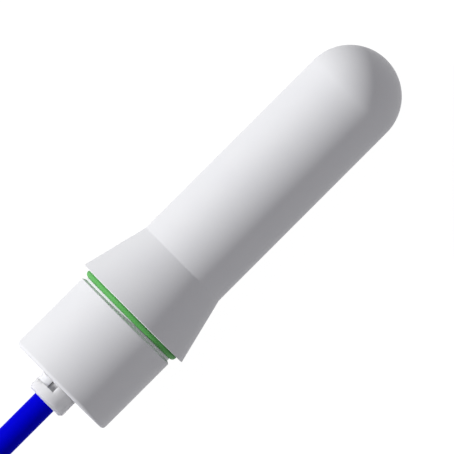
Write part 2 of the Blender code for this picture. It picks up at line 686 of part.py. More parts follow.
def cable_tail(bench, blue, middle, half_span, top, core_materials, tin):
    """The cable's far end on top of the hank, with its two stripped cores and their ferrules."""
    centre = middle + half_span
    rest = top + FIT + CABLE_R

    def on_loop(angle, radius, height):
        return Vector((centre + radius * math.sin(angle), -radius * math.cos(angle), height))

    points = [Vector((centre - TAIL_LEAD, -HANK_LOOP_R, rest))]
    points += [on_loop(TAIL_TURN * i / 6, HANK_LOOP_R, rest) for i in range(7)]
    bench.cord("cable_tail", smooth_route(points, CABLE_SPACING), CABLE_R, blue, bevel=CABLE_BEVEL_STEPS)

    low = top + FIT + CORE_R
    start = TAIL_TURN + FIT / HANK_LOOP_R
    for (name, material), side in zip(core_materials.items(), (1, -1)):
        radius = HANK_LOOP_R + side * CORE_OFFSET
        spread = HANK_LOOP_R + side * TAIL_CORE_SPREAD
        turns = [start + (TAIL_CORE_TURN * i / 4) for i in range(5)]
        reaches = [radius, radius, spread, spread, spread]
        heights = [rest, rest, (rest + low) / 2, low, low]
        points = [on_loop(*place) for place in zip(turns, reaches, heights)]
        end = Vector((centre - TAIL_CORE_RUN, spread, low))
        points.append(end)
        bench.cord("tail_core_" + name, smooth_route(points, CORE_SPACING), CORE_R, material)
        heading = (end - points[-2]).normalized()
        profile = [(0.0, FERRULE_LENGTH), (FERRULE_R, FERRULE_LENGTH), (FERRULE_R, FERRULE_LENGTH / 4),
                   (FERRULE_MOUTH_R, FERRULE_LENGTH / 8), (FERRULE_MOUTH_R, 0.0), (0.0, 0.0)]
        ferrule = bench.turn("ferrule_" + name, profile, tin, PIN_STEPS, closed=False, on_axis=False)
        lift = Vector((0.0, 0.0, FERRULE_MOUTH_R - CORE_R))
        aim = heading.to_track_quat("Z", "Y").to_matrix().to_4x4()
        ferrule.matrix_world = Matrix.Translation(end + lift + heading * FIT) @ aim


def main():
    clear_scene()
    bench = Bench()
    white = new_material("white_plastic", (0.86, 0.87, 0.88), 0.45)
    natural = new_material("natural_plastic", (0.80, 0.81, 0.80), 0.5)
    green = new_material("green_rubber", (0.13, 0.45, 0.12), 0.55)
    rubber = new_material("black_rubber", (0.03, 0.03, 0.03), 0.7)
    blue = new_material("blue_sheath", (0.0, 0.0, 0.80), 0.45)
    brown = new_material("brown_insulation", (0.19, 0.07, 0.03), 0.5)
    core_blue = new_material("blue_insulation", (0.03, 0.15, 0.55), 0.5)
    copper = new_material("copper", (0.85, 0.42, 0.25), 0.3, 1.0)
    tin = new_material("tin_plate", (0.75, 0.76, 0.77), 0.35, 1.0)
    board_green = new_material("board_laminate", (0.02, 0.18, 0.08), 0.4)
    chip_black = new_material("chip_resin", (0.03, 0.03, 0.035), 0.5)
    trimmer_blue = new_material("trimmer_plastic", (0.05, 0.2, 0.5), 0.4)
    gold = new_material("gold_plate", (0.85, 0.62, 0.25), 0.3, 1.0)

    probe_housing(bench, white)
    flange_o_ring(bench, green)
    connecting_sleeve(bench, natural)
    rear_cap(bench, white)
    gland_collar(bench, white)
    clamp_insert(bench, white)
    gland_locknut(bench, natural)
    cable_seal(bench, rubber)
    electrodes(bench, copper, natural, tin)
    board_ring(bench, "front_board_ring", BORE_R - FIT, FRONT_RING_PLACE, natural)
    board_ring(bench, "rear_board_ring", SLEEVE_BORE_R - FIT, REAR_RING_PLACE, natural)
    circuit_board(bench, board_green, tin, chip_black, trimmer_blue, tin, gold)
    cores = {"brown": brown, "blue": core_blue}
    inner_cable(bench, blue, cores)
    cable_run(bench, blue)
    middle, half_span, top = cable_hank(bench, blue)
    hank_tie(bench, middle, top, natural)
    cable_tail(bench, blue, middle, half_span, top, cores, tin)


main()
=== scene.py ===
# %% [markdown]
# This lesson dresses a capacitive level sensor: a smooth white plastic probe with a round tip, a flare with
# a green O-ring under it, a turned rear cap, a small cable gland and a blue two-core cable. The sensor's
# solids come in as a fixed frame, so the first step is to load them. Everything that follows could be typed
# in as numbers, but reading the sizes from the solids keeps the looks and the construction together.

# %% Load the solids
import json
import math

import bmesh
import bpy
from mathutils import Matrix, Vector


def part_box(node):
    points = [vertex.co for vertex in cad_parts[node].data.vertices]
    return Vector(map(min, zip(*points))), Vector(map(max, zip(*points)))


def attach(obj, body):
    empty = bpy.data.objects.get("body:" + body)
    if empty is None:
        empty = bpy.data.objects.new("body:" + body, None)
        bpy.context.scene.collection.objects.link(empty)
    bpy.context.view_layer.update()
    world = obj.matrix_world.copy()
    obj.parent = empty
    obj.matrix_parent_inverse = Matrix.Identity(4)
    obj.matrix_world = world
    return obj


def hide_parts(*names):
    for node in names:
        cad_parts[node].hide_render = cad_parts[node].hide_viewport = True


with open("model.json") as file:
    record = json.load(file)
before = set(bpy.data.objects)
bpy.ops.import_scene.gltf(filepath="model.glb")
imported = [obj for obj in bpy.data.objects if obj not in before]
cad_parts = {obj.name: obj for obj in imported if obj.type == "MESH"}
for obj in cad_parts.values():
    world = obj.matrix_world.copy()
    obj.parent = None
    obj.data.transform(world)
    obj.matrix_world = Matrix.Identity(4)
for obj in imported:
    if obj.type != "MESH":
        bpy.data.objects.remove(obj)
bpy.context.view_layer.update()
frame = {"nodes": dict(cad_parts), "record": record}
nodes = frame["nodes"]
MM = 0.001

# %% [markdown]
# The sensor lies on its flare and its tip, so its axis leans a few degrees. The flat rear face of the flare
# gives the direction of the axis, and the flare's rim rests on the floor, which gives its height. A matrix
# built from these lets every turned piece be modelled upright round Z and then laid down in one move.

# %% Find the sensor's axis
rear_face = frame["record"]["mounts"][0]
tip_way = -Vector(rear_face["axis"]).normalized()
side_way = Vector((0.0, 1.0, 0.0))
down_way = side_way.cross(tip_way)
top_way = -down_way
low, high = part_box("probe_housing")
rim_r = (high.y - low.y) / 2
axis_height = -rim_r * down_way.z
lean = -tip_way.z / tip_way.x
axis_x = rear_face["pos_m"][0] + (axis_height - rear_face["pos_m"][2]) * lean
origin = Vector((axis_x, 0.0, axis_height))
lying = Matrix((down_way, side_way, tip_way)).transposed().to_4x4()
lying.translation = origin
print("lean", round(math.degrees(math.atan(lean)), 3), "degrees, flare radius", round(rim_r / MM, 2), "mm")

# %% [markdown]
# A turned piece is known by a few radii and by how far along the axis they lie. The corners of each solid,
# seen from the axis, give both.

# %% Read radii and places from the solids
def seen_from_axis(node):
    """(radius, place along the axis) of every corner of a solid."""
    back = lying.inverted()
    corners = [back @ vertex.co for vertex in nodes[node].data.vertices]
    return [(math.hypot(c.x, c.y), c.z) for c in corners]


def span(node):
    """The lowest and the highest place of a solid along the axis."""
    places = [place for _, place in seen_from_axis(node)]
    return min(places), max(places)


def widest(node, low=-1.0, high=1.0):
    """The largest radius of a solid between two places."""
    return max(radius for radius, place in seen_from_axis(node) if low <= place <= high)


NEAR = 0.02 * MM
INTO_CAP = 1.0 * MM
tip = span("probe_housing")[1]
tube_r = widest("probe_housing", tip / 2, tip)
cone_end = min(p for r, p in seen_from_axis("probe_housing") if abs(r - tube_r) < NEAR)
cap_rear, cap_front = span("rear_cap")
cap_r = widest("rear_cap")
collar_rear, neck_end = span("gland_collar")
collar_r = widest("gland_collar")
neck_r = widest("gland_collar", cap_rear + INTO_CAP, neck_end)
print("tube radius", round(tube_r / MM, 2), "cap radius", round(cap_r / MM, 2), "tip at", round(tip / MM, 2))

# %% [markdown]
# The camera comes first, because everything is judged through it. The sensor is seen from the side, which
# is straight down here, and its axis runs up and to the right at 45 degrees. A product picture is taken from
# far away with a long lens. An orthographic camera would look the same, but a very long lens still gives
# a trace of the convergence of a real one.

# %% Camera
VIEW_WIDTH = 112.1 * MM
VIEW_ALONG = 31.68 * MM
VIEW_ACROSS = 1.309 * MM
LENS = 1500.0
SENSOR = 36.0
CLIP_END = 20.0
right_way = (tip_way - side_way).normalized()
up_way = (tip_way + side_way).normalized()
target = origin + tip_way * VIEW_ALONG - side_way * VIEW_ACROSS
bpy.ops.object.select_all(action="DESELECT")
bpy.ops.object.camera_add()
camera = bpy.context.object
camera.name = "product_camera"
camera.data.lens = LENS
camera.data.sensor_width = SENSOR
camera.data.clip_end = CLIP_END
camera_stand = Matrix((right_way, up_way, top_way)).transposed().to_4x4()
camera_stand.translation = target + top_way * (VIEW_WIDTH * LENS / SENSOR)
camera.matrix_world = camera_stand
bpy.context.scene.camera = camera
print("camera at", [round(x, 3) for x in camera.location])

# %% [markdown]
# The cable is a two metre lead that leaves the gland, comes down to the floor under its own weight and is
# put away as a tied hank behind the sensor, outside the picture. A cable can be simulated, but a hank is
# wound by hand, and every turn has its place. So the line is worked out: straight in the gland, then through
# listed points down to the floor, then round and round between two loops that are drawn together
# at the waist by a tie.

# %% The cable's line, from the gland to the floor
CABLE_R = 3.2 * MM
FIT = 0.3 * MM
CABLE_END_IN_CAP = -12.5 * MM
# How far behind the gland, and how high above the floor, in mm
RUN_ROUTE = [
    (0.0, 18.70), (6.2, 19.05), (12.2, 19.38), (18.2, 19.45), (25.2, 18.55), (32.2, 16.25),
    (39.2, 12.95), (46.2, 9.40), (53.2, 6.25), (60.2, 4.05), (67.2, 3.20),
]


def smooth_route(points, spacing):
    """Points at about the spacing along a smooth curve through the given ones."""
    ends = [points[0] * 2 - points[1], *points, points[-1] * 2 - points[-2]]
    route = []
    for before, a, b, after in zip(ends, ends[1:], ends[2:], ends[3:]):
        steps = max(1, round((b - a).length / spacing))
        for i in range(steps):
            t = i / steps
            route.append(
                a
                + (b - before) * (t / 2)
                + (before * 2 - a * 5 + b * 4 - after) * (t * t / 2)
                + (a * 3 - before - b * 3 + after) * (t ** 3 / 2)
            )
    return [*route, points[-1]]


def length_of(points):
    """The length of a line through the points."""
    return sum((b - a).length for a, b in zip(points, points[1:]))


cable_exit = lying @ Vector((0.0, 0.0, collar_rear - FIT))
middle_in_gland = (CABLE_END_IN_CAP + collar_rear) / 2
in_gland = [lying @ Vector((0.0, 0.0, place)) for place in (CABLE_END_IN_CAP, middle_in_gland)]
behind = [Vector((cable_exit.x - back * MM, 0.0, height * MM)) for back, height in RUN_ROUTE]
run_line = smooth_route([*in_gland, *behind], CABLE_R / 2)
print("cable to the floor:", round(length_of(run_line) / MM), "mm in", len(run_line), "points")

# %% [markdown]
# Each turn of the hank has a run on either side and a loop at each end. At the loops six turns lie on each
# other. At the waist each pair of runs has rolled over until it lies side by side, so that the stack is four
# runs wide and three high. The rolling is a formula: one share, 1 at the loops and 0 at the waist, moves the
# pairs inwards and turns them. No two loops of a real hank are alike, so each one reaches a little further
# or less far than the next.

# %% Helpers for the hank
CABLE_D = 2 * CABLE_R
LOOP_R = 19.2 * MM
TURNS = 6
ENTRY = 56.0 * MM
RUN_STEPS = 36
LOOP_STEPS = 28
NEAR_LOOP_REACH = [0.5 * MM, -0.3 * MM, 0.6 * MM, -0.2 * MM, 0.0]
FAR_LOOP_REACH = [-0.3 * MM, 0.5 * MM, 0.1 * MM, -0.4 * MM, 0.4 * MM, -0.2 * MM]
TAIL_TURN = math.radians(110.0)
hank_low, hank_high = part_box("cable_hank")
hank_middle = (hank_low.x + hank_high.x) / 2
half_span = (hank_high.x - hank_low.x) / 2 - LOOP_R - CABLE_R


def waist_share(u):
    """0 at the hank's waist and 1 at its loops, along a smooth curve."""
    return (1 - math.cos(math.pi * min(1.0, abs(u)))) / 2


def on_side(run, side, u):
    """A run's place, u from -1 at the far loop to 1 at the near one, on the side +1 or -1."""
    share = waist_share(u)
    pair, upper = divmod(run, 2)
    turn = (1 - share) * math.pi / 2
    member = (upper - 0.5) * CABLE_D
    out = CABLE_D + (LOOP_R - CABLE_D) * share + member * math.sin(turn)
    spread = CABLE_D * math.sqrt(1 + 3 * math.cos(turn) ** 2)
    height = TURNS / 2 * CABLE_D + (pair - 1) * spread + member * math.cos(turn)
    if side < 0 and u > 0:
        height += share * (CABLE_D + (FIT if run == TURNS - 1 else 0.0))
    return Vector((hank_middle + half_span * u, side * out, height))


def loop(sign, reach, height, start, end):
    """An end loop, sign 1 for the one near the sensor, between two angles from its outermost point."""
    centre = hank_middle + sign * half_span
    angles = [start + (end - start) * i / LOOP_STEPS for i in range(1, LOOP_STEPS)]
    out = sign * (LOOP_R + reach)
    return [Vector((centre + out * math.cos(a), LOOP_R * math.sin(a), height)) for a in angles]


def entry_place(x):
    """The first run lies flat under the near loops and rises to its place at the waist."""
    share = waist_share(x / ENTRY)
    return Vector((hank_middle + x, CABLE_R * (1 - share), CABLE_D * (2 - 1.5 * share)))


print("hank from loop to loop:", round(2 * half_span / MM), "mm, loops", round(2 * LOOP_R / MM, 1), "mm wide")

# %% [markdown]
# The line is wound as a hand winds it. The first run goes in under the near loops, and then each turn goes
# out on one side, round the far loop, back on the other side and round the near loop, one cable higher each
# time. The last loop stops short and leaves the free end on top.

# %% The cable's line through the hank
quarter = math.pi / 2
entry_length = half_span + LOOP_R
hank_line = [entry_place(entry_length * (1 - i / RUN_STEPS)) for i in range(RUN_STEPS)]
ways = [1 - 2 * i / RUN_STEPS for i in range(RUN_STEPS + 1)]
for turn in range(TURNS):
    outward = [u for u in ways if turn > 0 or u <= 0]
    hank_line += [on_side(turn, 1, u) for u in outward]
    hank_line += loop(-1, FAR_LOOP_REACH[turn], (turn + 0.5) * CABLE_D, quarter, -quarter)
    hank_line += [on_side(turn, -1, -u) for u in ways]
    if turn < TURNS - 1:
        hank_line += loop(1, NEAR_LOOP_REACH[turn], (turn + 1.5) * CABLE_D, -quarter, quarter)
tail_height = (TURNS + 0.5) * CABLE_D + FIT
hank_line += loop(1, 0.0, tail_height, -quarter, TAIL_TURN - quarter)
cable_line = [*run_line, *hank_line]
print("cable in all:", round(length_of(cable_line), 3), "m in", len(cable_line), "points")

# %% [markdown]
# A white thing shows its round form by its shade, so the light comes from one side. The shade has a crisp edge
# in the photograph, so the lamp is small, and a weak broad one from the other side keeps the far edge from
# going dark. Area lamps would do it too, but a sun gives the same light at every distance, so that the sensor
# looks alike from any side. With the plain Standard view the colours stay as written: a white of 0.8 comes out
# just under white where the lamp meets it squarely.

# %% Lamps
# Where each lamp is (to the side, to the tip, to the top), its strength, and its width in degrees
LAMPS = {
    "lamp": ((0.75, -0.53, 0.433), 2.81, 5.0),
    "fill_lamp": ((-0.95, -0.25, 0.15), 0.15, 60.0),
}
scene = bpy.context.scene
scene.view_settings.view_transform = "Standard"
for name, ((to_side, to_tip, to_top), strength, width) in LAMPS.items():
    way = (to_side * side_way + to_tip * tip_way + to_top * top_way).normalized()
    bpy.ops.object.light_add(type="SUN", location=target + way)
    lamp = bpy.context.object
    lamp.name = name
    lamp.rotation_euler = way.to_track_quat("Z", "Y").to_euler()
    lamp.data.energy = strength
    lamp.data.angle = math.radians(width)
    print(name, "from", [round(x, 2) for x in way])

# %% [markdown]
# The picture's background is white paper, and as bright as white gets. If that much light also fell on the
# sensor, its shade would be lost. So the world has two colours: light that goes to the camera, a reflection
# or a clear body sees a white one, and all other light gets a dimmer one with a faint violet tint, which is
# the tint of the photograph's shade.

# %% Surround
SURROUND = 0.295
SURROUND_TINT = (1.0, 0.98, 1.03)


def seen_as_background(tree):
    """A socket that is 1 for light that goes to the camera, a reflection or a clear body."""
    path = tree.nodes.new("ShaderNodeLightPath")
    seen = path.outputs["Is Camera Ray"]
    for kind in ("Is Glossy Ray", "Is Transmission Ray"):
        either = tree.nodes.new("ShaderNodeMath")
        either.operation = "MAXIMUM"
        tree.links.new(seen, either.inputs[0])
        tree.links.new(path.outputs[kind], either.inputs[1])
        seen = either.outputs["Value"]
    return seen


world = bpy.data.worlds.new("studio")
world.use_nodes = True
scene.world = world
tree = world.node_tree
surround = tree.nodes["Background"]
surround.inputs["Color"].default_value = (*SURROUND_TINT, 1.0)
surround.inputs["Strength"].default_value = SURROUND
paper = tree.nodes.new("ShaderNodeBackground")
paper.inputs["Color"].default_value = (1.0, 1.0, 1.0, 1.0)
choice = tree.nodes.new("ShaderNodeMixShader")
tree.links.new(seen_as_background(tree), choice.inputs["Fac"])
tree.links.new(surround.outputs["Background"], choice.inputs[1])
tree.links.new(paper.outputs["Background"], choice.inputs[2])
tree.links.new(choice.outputs["Shader"], tree.nodes["World Output"].inputs["Surface"])
print("surround of strength", SURROUND)

# %% [markdown]
# The floor is a plain white sheet. To the camera it glows almost white by itself, and the little light that
# it still reflects carries it to full white, so only the sensor's shadow stays a shade darker. For all other
# light it is an ordinary pale surface, which throws some light back at the sensor's underside.

# %% Floor
FLOOR_SIZE = 4.0
PAPER_GLOW = 0.97
PAPER_REFLECTS = 0.12
FLOOR_WHITE = 0.62
bpy.ops.object.select_all(action="DESELECT")
bpy.ops.mesh.primitive_plane_add(size=FLOOR_SIZE)
floor = bpy.context.object
floor.name = "floor"
floor_paper = bpy.data.materials.new("floor_paper")
floor_paper.use_nodes = True
tree = floor_paper.node_tree
tree.nodes.remove(tree.nodes["Principled BSDF"])
sheet = tree.nodes.new("ShaderNodeBsdfDiffuse")
sheet.inputs["Color"].default_value = (FLOOR_WHITE, FLOOR_WHITE, FLOOR_WHITE, 1.0)
glow = tree.nodes.new("ShaderNodeEmission")
glow.inputs["Strength"].default_value = PAPER_GLOW
faint = tree.nodes.new("ShaderNodeBsdfDiffuse")
faint.inputs["Color"].default_value = (PAPER_REFLECTS, PAPER_REFLECTS, PAPER_REFLECTS, 1.0)
glowing = tree.nodes.new("ShaderNodeAddShader")
tree.links.new(glow.outputs["Emission"], glowing.inputs[0])
tree.links.new(faint.outputs["BSDF"], glowing.inputs[1])
choice = tree.nodes.new("ShaderNodeMixShader")
tree.links.new(seen_as_background(tree), choice.inputs["Fac"])
tree.links.new(sheet.outputs["BSDF"], choice.inputs[1])
tree.links.new(glowing.outputs["Shader"], choice.inputs[2])
tree.links.new(choice.outputs["Shader"], tree.nodes["Material Output"].inputs["Surface"])
floor.data.materials.append(floor_paper)
print("floor", FLOOR_SIZE, "m")

# %% [markdown]
# No real surface is one flat colour. Moulded plastic, rubber and metal all vary a little in tone and in
# gloss, and have a fine grain. One helper builds that: a wide noise moves the colour between two near ones,
# a second one moves the gloss, and a fine one gives the grain. It reads Object coordinates, which are in
# metres here, so a pattern keeps its real size on every piece.

# %% A helper for finishes
TONE_RANGE = (0.3, 0.7)
TONE_DETAIL = 3.0
GLOSS_DETAIL = 4.0
GRAIN_DETAIL = 2.0
PATCH = 8.0
GRAIN = 0.25
GRAIN_DEPTH = 0.03


def finish(name, light, dark, gloss, metallic=0.0, patch=PATCH, grain=GRAIN, depth=GRAIN_DEPTH,
           specular=0.5, milky=0.0):
    """A Principled material. gloss is the two ends of roughness. patch and grain are the sizes of its patches
    and its grain, depth is the grain's height and milky is how far light seeps into it, all in mm."""
    material = bpy.data.materials.new(name)
    material.use_nodes = True
    tree = material.node_tree
    shader = tree.nodes["Principled BSDF"]
    shader.inputs["Metallic"].default_value = metallic
    shader.inputs["Specular IOR Level"].default_value = specular
    if milky > 0.0:
        shader.inputs["Subsurface Weight"].default_value = 1.0
        shader.inputs["Subsurface Radius"].default_value = (1.0, 1.0, 1.0)
        shader.inputs["Subsurface Scale"].default_value = milky * MM
    place = tree.nodes.new("ShaderNodeTexCoord")

    def noise(size, detail):
        texture = tree.nodes.new("ShaderNodeTexNoise")
        texture.inputs["Scale"].default_value = 1.0 / (size * MM)
        texture.inputs["Detail"].default_value = detail
        tree.links.new(place.outputs["Object"], texture.inputs["Vector"])
        return texture.outputs["Fac"]

    tone = tree.nodes.new("ShaderNodeValToRGB")
    for stop, position, colour in zip(tone.color_ramp.elements, TONE_RANGE, (dark, light)):
        stop.position = position
        stop.color = (*colour, 1.0)
    tree.links.new(noise(patch, TONE_DETAIL), tone.inputs["Fac"])
    tree.links.new(tone.outputs["Color"], shader.inputs["Base Color"])
    sheen = tree.nodes.new("ShaderNodeMapRange")
    sheen.inputs["To Min"].default_value = gloss[0]
    sheen.inputs["To Max"].default_value = gloss[1]
    tree.links.new(noise(patch / 3, GLOSS_DETAIL), sheen.inputs["Value"])
    tree.links.new(sheen.outputs["Result"], shader.inputs["Roughness"])
    bump = tree.nodes.new("ShaderNodeBump")
    bump.inputs["Strength"].default_value = 1.0
    bump.inputs["Distance"].default_value = depth * MM
    tree.links.new(noise(grain, GRAIN_DETAIL), bump.inputs["Height"])
    tree.links.new(bump.outputs["Normal"], shader.inputs["Normal"])
    return material


print("patches of", PATCH, "mm and a grain of", GRAIN, "mm, unless a finish says otherwise")

# %% [markdown]
# The body is turned from a satin white plastic with little shine. The gland's collar is moulded from a
# milkier one, into which light seeps a few millimetres, so that its shaded side stays pale. The floor of the
# window's pocket gets a grey finish that is painted shade: it stands in for the deep shade that the white floor
# lies in on the real sensor. The tie and some of the pieces inside are of natural plastic, and the green rubber
# and the cable's sheath hardly shine at all.

# %% Finishes of the pieces that are seen
white_plastic = finish("white_plastic", (0.80, 0.806, 0.82), (0.785, 0.791, 0.81), (0.42, 0.52), depth=0.004,
                       specular=0.15)
milky_plastic = finish("milky_plastic", (0.88, 0.88, 0.885), (0.86, 0.86, 0.87), (0.36, 0.46), depth=0.004,
                       specular=0.4, milky=3.0)
natural_plastic = finish("natural_plastic", (0.76, 0.76, 0.72), (0.72, 0.72, 0.68), (0.40, 0.50), depth=0.004)
# Painted shade: the pocket floor is white plastic, greyed here to stand for the deep shade it lies in
pocket_painted_shade = finish("pocket_painted_shade", (0.42, 0.42, 0.43), (0.39, 0.39, 0.40), (0.5, 0.6), depth=0.004,
                      specular=0.2)
green_rubber = finish("green_rubber", (0.125, 0.43, 0.115), (0.105, 0.40, 0.095), (0.50, 0.60), grain=0.15,
                      depth=0.01, specular=0.12)
black_rubber = finish("black_rubber", (0.035, 0.035, 0.035), (0.02, 0.02, 0.02), (0.6, 0.75), depth=0.02)
blue_sheath = finish("blue_sheath", (0.0, 0.0, 0.66), (0.0, 0.0, 0.62), (0.50, 0.60), depth=0.01, specular=0.02)
print("seven finishes, from", white_plastic.name, "to", blue_sheath.name)

# %% [markdown]
# The finished cable is one curve along the whole line, with a round bevel for its sheath and flat caps where
# it is cut. A mesh tube would need every ring placed by hand, and a curve keeps its line, so its length can
# still be measured.

# %% The cable
CABLE_SIDES = 10


def along_line(name, points, radius, material, sides):
    """A round wire or cable along the points."""
    curve = bpy.data.curves.new(name, "CURVE")
    curve.dimensions = "3D"
    curve.bevel_depth = radius
    curve.bevel_resolution = sides
    curve.use_fill_caps = True
    spline = curve.splines.new("POLY")
    spline.points.add(len(points) - 1)
    for point, place in zip(spline.points, points):
        point.co = (*place, 1.0)
    thing = bpy.data.objects.new(name, curve)
    scene.collection.objects.link(thing)
    curve.materials.append(material)
    return thing


cable = along_line("sensor_cable", cable_line, CABLE_R, blue_sheath, CABLE_SIDES)
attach(cable, "root")
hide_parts("cable_jacket_end", "cable_run", "cable_hank", "cable_tail")

# %% [markdown]
# The sheath is stripped back at the far end, and the two cores lie on the hank with a crimped ferrule each.
# The cores are curves like the cable. They leave the sheath side by side, spread a little and come down on
# the loops under them.

# %% The two cores at the far end
CORE_R = 0.7 * MM
CORE_OFFSET = 0.95 * MM
CORE_SPREAD = 1.5 * MM
CORE_TURN = math.radians(66.0)
CORE_RUN = 3.0 * MM
CORE_INSIDE = math.radians(4.0)
CORE_SIDES = 6
brown_insulation = finish("brown_insulation", (0.20, 0.075, 0.03), (0.17, 0.06, 0.025), (0.4, 0.5),
                          depth=0.01)
blue_insulation = finish("blue_insulation", (0.04, 0.17, 0.58), (0.03, 0.14, 0.50), (0.4, 0.5), depth=0.01)
near_centre = hank_middle + half_span
core_rest = TURNS * CABLE_D + FIT + CORE_R


def on_loop(angle, radius, height):
    """A place over the near loops, the angle from where the last loop starts."""
    return Vector((near_centre + radius * math.sin(angle), -radius * math.cos(angle), height))


core_ends = {}
for colour, side, material in (("brown", 1, brown_insulation), ("blue", -1, blue_insulation)):
    radius = LOOP_R + side * CORE_OFFSET
    spread = LOOP_R + side * CORE_SPREAD
    start = TAIL_TURN + FIT / LOOP_R
    points = [
        on_loop(TAIL_TURN - CORE_INSIDE, radius, tail_height),
        on_loop(start, radius, tail_height),
        on_loop(start + CORE_TURN / 4, radius, tail_height),
        on_loop(start + CORE_TURN / 2, spread, (tail_height + core_rest) / 2),
        on_loop(start + CORE_TURN * 3 / 4, spread, core_rest),
        on_loop(start + CORE_TURN, spread, core_rest),
        Vector((near_centre - CORE_RUN, spread, core_rest)),
    ]
    core = along_line("core_" + colour, smooth_route(points, CORE_R), CORE_R, material, CORE_SIDES)
    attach(core, "root")
    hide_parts("tail_core_" + colour)
    core_ends[colour] = (points[-1], (points[-1] - points[-2]).normalized())
print("cores end at", [[round(x / MM, 1) for x in end] for end, _ in core_ends.values()])

# %% [markdown]
# Most of the sensor is turned or moulded round its axis, so its pieces start as outlines: lists of a radius and
# a place along the axis. A cylinder primitive could be inset and extruded to the same shape, but an outline
# keeps each radius and each edge in one list, like the drawing of the real piece. An edge that is not sharp
# on the real piece gets its fillet in the outline.

# %% Helpers for outlines
FILLET_STEPS = 5


def arc(centre_r, centre_z, radius, start, end, steps):
    """Outline points on an arc, from the start angle to the end angle above the outward direction."""
    angles = [math.radians(start + (end - start) * i / steps) for i in range(steps + 1)]
    return [(centre_r + radius * math.cos(a), centre_z + radius * math.sin(a)) for a in angles]


def filleted(corners, steps=FILLET_STEPS):
    """Rounds each (radius, place, fillet) corner of an open outline."""
    outline = [corners[0][:2]]
    for before, corner, after in zip(corners, corners[1:], corners[2:]):
        here = Vector(corner[:2])
        back = (Vector(before[:2]) - here).normalized()
        ahead = (Vector(after[:2]) - here).normalized()
        if corner[2] <= 0.0:
            outline.append(corner[:2])
            continue
        half = back.angle(ahead) / 2
        centre = here + (back + ahead).normalized() * (corner[2] / math.sin(half))
        start = here + back * (corner[2] / math.tan(half)) - centre
        turn = start.angle_signed(here + ahead * (corner[2] / math.tan(half)) - centre)
        for i in range(steps + 1):
            spoke = start.copy()
            spoke.rotate(Matrix.Rotation(-turn * i / steps, 2))
            outline.append(tuple(centre + spoke))
    outline.append(corners[-1][:2])
    return outline


print("a rounded corner has", FILLET_STEPS, "steps")

# %% [markdown]
# One helper then makes every turned piece the way a lathe would. A single vertex is moved and extruded along
# the outline, and the outline is spun round the axis. Spinning leaves a seam and can turn the shape inside
# out, so doubles are merged and the normals are made to point outwards. A second helper lays the upright
# piece down along the sensor's axis, shades it and gives it its material.

# %% Helpers for turned pieces
ROUND_STEPS = 128
MERGE = 0.002 * MM
SMOOTH_ANGLE = math.radians(28.0)


def spun(name, outline, steps=ROUND_STEPS, sweep=math.tau):
    """A mesh spun round Z from (radius, place) points, in edit mode and all selected when it returns."""
    bpy.ops.object.select_all(action="DESELECT")
    bpy.ops.mesh.primitive_plane_add(size=MM)
    piece = bpy.context.object
    piece.name = piece.data.name = name
    bpy.ops.object.mode_set(mode="EDIT")
    bpy.ops.mesh.select_mode(type="VERT")
    bpy.ops.mesh.merge(type="CENTER")
    bpy.ops.transform.translate(value=(outline[0][0], 0.0, outline[0][1]))
    for a, b in zip(outline, outline[1:]):
        move = {"value": (b[0] - a[0], 0.0, b[1] - a[1])}
        bpy.ops.mesh.extrude_vertices_move(TRANSFORM_OT_translate=move)
    bpy.ops.mesh.select_all(action="SELECT")
    bpy.ops.mesh.spin(steps=steps, angle=sweep, center=(0.0, 0.0, 0.0), axis=(0.0, 0.0, 1.0))
    bpy.ops.mesh.select_all(action="SELECT")
    bpy.ops.mesh.remove_doubles(threshold=MERGE)
    bpy.ops.mesh.normals_make_consistent(inside=False)
    return piece


def laid_down(piece, material, stand=lying):
    """Puts the finished piece in its place, with its place in its mesh, and shades it."""
    if bpy.context.mode != "OBJECT":
        bpy.ops.object.mode_set(mode="OBJECT")
    piece.matrix_world = stand
    bpy.ops.object.transform_apply(location=True, rotation=True, scale=True)
    bpy.ops.object.shade_smooth_by_angle(angle=SMOOTH_ANGLE)
    piece.data.materials.clear()
    piece.data.materials.append(material)
    weighted = piece.modifiers.new("even_shading", "WEIGHTED_NORMAL")
    weighted.keep_sharp = True
    bpy.ops.object.modifier_apply(modifier=weighted.name)
    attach(piece, "root")
    return piece


def turned(name, outline, material):
    """A finished turned piece."""
    return laid_down(spun(name, outline), material)


def size_of(piece):
    """A piece's name and its number of faces."""
    return f"{piece.name}: {len(piece.data.polygons)} faces"


print("turned pieces have", ROUND_STEPS, "steps round")

# %% [markdown]
# The probe housing is one turned shell, open at the rear: a round tip, a straight tube and a short flare.
# Its rear face holds a step for the O-ring and a socket for the sleeve that joins it to the cap. The outline
# runs down the outside from the tip, across the rear face and back up the bore, so the spin gives a real
# wall. The rim of the flare is a thin edge, broken by a tiny chamfer whose two corners are rounded.

# %% Probe housing
WALL = 2.0 * MM
RIM_FILLET = 0.08 * MM
RIM_BREAK = 0.15 * MM
REAR_FACE = 0.1 * MM
CONE_FILLET = 1.2 * MM
SEAT_R = 15.6 * MM
SEAT_DEPTH = 0.95 * MM
SOCKET_R = widest("connecting_sleeve") + FIT
SOCKET_DEPTH = 10.0 * MM
SMALL_FILLET = 0.12 * MM
DOME_STEPS = 32
dome_centre = tip - tube_r
bore_r = tube_r - WALL
outside = arc(0.0, dome_centre, tube_r, 90.0, 0.0, DOME_STEPS)
rear = filleted([
    (tube_r, dome_centre, 0.0),
    (tube_r, cone_end, CONE_FILLET),
    (rim_r, REAR_FACE + RIM_BREAK, RIM_FILLET),
    (rim_r - RIM_BREAK, REAR_FACE, RIM_FILLET),
    (SEAT_R, REAR_FACE, SMALL_FILLET),
    (SEAT_R, SEAT_DEPTH, 0.0),
    (SOCKET_R, SEAT_DEPTH, SMALL_FILLET),
    (SOCKET_R, SOCKET_DEPTH, 0.0),
    (bore_r, SOCKET_DEPTH, SMALL_FILLET),
    (bore_r, dome_centre, 0.0),
])
inside = arc(0.0, dome_centre, bore_r, 0.0, 90.0, DOME_STEPS)
